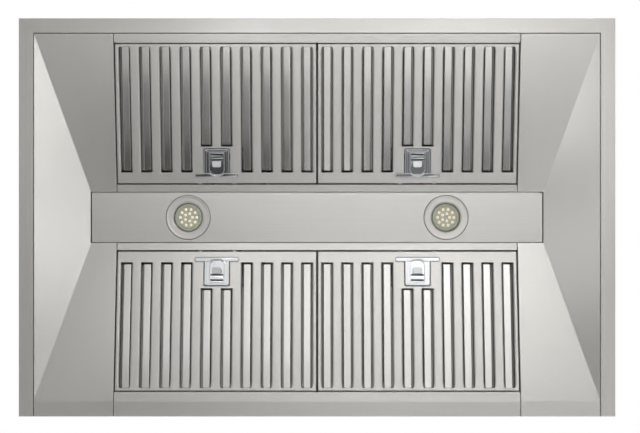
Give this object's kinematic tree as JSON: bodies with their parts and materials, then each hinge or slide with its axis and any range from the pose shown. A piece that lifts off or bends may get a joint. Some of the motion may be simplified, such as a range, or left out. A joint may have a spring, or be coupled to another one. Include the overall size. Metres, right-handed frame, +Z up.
{
  "type": "wall mount range hood",
  "caption": "Stainless wall mount range hood with tilting baffle filters, recessed lamps, blower, damper collar and telescoping chimney cover.",
  "frame": {"origin": "middle of the four wall fixing holes, on the wall plane", "axes": "+X right seen from the front, +Y into the wall, +Z up towards the ceiling"},
  "size_m": [0.914, 0.6136, 1.1012],
  "materials": {
    "canopy_steel": "satin, long grain",
    "liner_steel": "satin",
    "filter_steel": "satin",
    "baffle_steel": "bright rolled",
    "latch_steel": "bright",
    "lamp_trim": "satin",
    "led_face": "clear over phosphor",
    "cast_aluminium": "cast",
    "galvanised": "galvanised",
    "button_steel": "turned",
    "control_black": "gloss",
    "circuit_board": "solder mask",
    "motor_paint": "semi-gloss",
    "black_plastic": "moulded",
    "zinc_screw": "zinc plated"
  },
  "bodies": {
    "canopy": {"canopy_front": "canopy_steel", "canopy_left_side": "canopy_steel", "canopy_right_side": "canopy_steel", "canopy_deck": "canopy_steel", "back_plate": "galvanised", "left_side_liner": "liner_steel", "right_side_liner": "liner_steel", "front_filter_rail": "liner_steel", "rear_filter_rail": "liner_steel", "front_latch_rail": "liner_steel", "rear_latch_rail": "liner_steel", "light_panel": "liner_steel", "control_panel": "control_black", "control_box": "galvanised", "control_board": "circuit_board", "blower_housing": "galvanised", "inlet_rings": "galvanised", "motor": "motor_paint", "motor_bracket": "galvanised", "blower_screws": "zinc_screw", "duct_collar": "galvanised", "damper_pin": "zinc_screw", "lower_chimney": "canopy_steel", "chimney_bracket": "galvanised", "junction_box": "galvanised", "junction_box_cover": "galvanised", "cable_gland": "black_plastic", "inner_wiring": "black_plastic", "left_lamp_ring": "lamp_trim", "left_lamp_leds": "led_face", "left_lamp_body": "cast_aluminium", "right_lamp_ring": "lamp_trim", "right_lamp_leds": "led_face", "right_lamp_body": "cast_aluminium"},
    "front_left_filter": {"front_left_filter_face": "filter_steel", "front_left_filter_baffles": "baffle_steel", "front_left_latch_case": "latch_steel"},
    "front_left_latch": {"front_left_latch_slider": "latch_steel"},
    "front_right_filter": {"front_right_filter_face": "filter_steel", "front_right_filter_baffles": "baffle_steel", "front_right_latch_case": "latch_steel"},
    "front_right_latch": {"front_right_latch_slider": "latch_steel"},
    "rear_left_filter": {"rear_left_filter_face": "filter_steel", "rear_left_filter_baffles": "baffle_steel", "rear_left_latch_case": "latch_steel"},
    "rear_left_latch": {"rear_left_latch_slider": "latch_steel"},
    "rear_right_filter": {"rear_right_filter_face": "filter_steel", "rear_right_filter_baffles": "baffle_steel", "rear_right_latch_case": "latch_steel"},
    "rear_right_latch": {"rear_right_latch_slider": "latch_steel"},
    "power_push": {"power_button": "button_steel"},
    "light_push": {"light_button": "button_steel"},
    "low_speed_push": {"low_speed_button": "button_steel"},
    "medium_speed_push": {"medium_speed_button": "button_steel"},
    "high_speed_push": {"high_speed_button": "button_steel"},
    "blower_wheel": {"impeller": "galvanised", "impeller_shaft": "zinc_screw"},
    "front_flap": {"front_damper_flap": "galvanised"},
    "rear_flap": {"rear_damper_flap": "galvanised"},
    "chimney_extension": {"upper_chimney": "canopy_steel"}
  },
  "joints": [
    {"name": "front_left_filter_tilt", "type": "hinge", "parent": "canopy", "child": "front_left_filter", "pos_m": [-0.156, -0.573, -0.24686], "axis": [-1, 0, 0], "range_deg": [0, 75]},
    {"name": "front_left_latch_slide", "type": "slide", "parent": "front_left_filter", "child": "front_left_latch", "axis": [0, 0.9915, 0.1302], "range_m": [0, 0.0045]},
    {"name": "front_right_filter_tilt", "type": "hinge", "parent": "canopy", "child": "front_right_filter", "pos_m": [0.156, -0.573, -0.24686], "axis": [-1, 0, 0], "range_deg": [0, 75]},
    {"name": "front_right_latch_slide", "type": "slide", "parent": "front_right_filter", "child": "front_right_latch", "axis": [0, 0.9915, 0.1302], "range_m": [0, 0.0045]},
    {"name": "rear_left_filter_tilt", "type": "hinge", "parent": "canopy", "child": "rear_left_filter", "pos_m": [-0.156, -0.037, -0.24686], "axis": [1, 0, 0], "range_deg": [0, 75]},
    {"name": "rear_left_latch_slide", "type": "slide", "parent": "rear_left_filter", "child": "rear_left_latch", "axis": [0, -0.9915, 0.1302], "range_m": [0, 0.0045]},
    {"name": "rear_right_filter_tilt", "type": "hinge", "parent": "canopy", "child": "rear_right_filter", "pos_m": [0.156, -0.037, -0.24686], "axis": [1, 0, 0], "range_deg": [0, 75]},
    {"name": "rear_right_latch_slide", "type": "slide", "parent": "rear_right_filter", "child": "rear_right_latch", "axis": [0, -0.9915, 0.1302], "range_m": [0, 0.0045]},
    {"name": "power_press", "type": "slide", "parent": "canopy", "child": "power_push", "axis": [0, 1, 0], "range_m": [0, 0.002], "stiffness_N_per_m": 400, "springref_m": -0.001},
    {"name": "light_press", "type": "slide", "parent": "canopy", "child": "light_push", "axis": [0, 1, 0], "range_m": [0, 0.002], "stiffness_N_per_m": 400, "springref_m": -0.001},
    {"name": "low_speed_press", "type": "slide", "parent": "canopy", "child": "low_speed_push", "axis": [0, 1, 0], "range_m": [0, 0.002], "stiffness_N_per_m": 400, "springref_m": -0.001},
    {"name": "medium_speed_press", "type": "slide", "parent": "canopy", "child": "medium_speed_push", "axis": [0, 1, 0], "range_m": [0, 0.002], "stiffness_N_per_m": 400, "springref_m": -0.001},
    {"name": "high_speed_press", "type": "slide", "parent": "canopy", "child": "high_speed_push", "axis": [0, 1, 0], "range_m": [0, 0.002], "stiffness_N_per_m": 400, "springref_m": -0.001},
    {"name": "impeller_spin", "type": "hinge", "parent": "canopy", "child": "blower_wheel", "pos_m": [0, -0.227, 0.005], "axis": [1, 0, 0], "continuous": true},
    {"name": "front_flap_swing", "type": "hinge", "parent": "canopy", "child": "front_flap", "pos_m": [0, -0.145, 0.1504], "axis": [-1, 0, 0], "range_deg": [0, 78]},
    {"name": "rear_flap_swing", "type": "hinge", "parent": "canopy", "child": "rear_flap", "pos_m": [0, -0.145, 0.1504], "axis": [1, 0, 0], "range_deg": [0, 78]},
    {"name": "chimney_extend", "type": "slide", "parent": "canopy", "child": "chimney_extension", "axis": [0, 0, 1], "range_m": [-0.26, 0]}
  ]
}
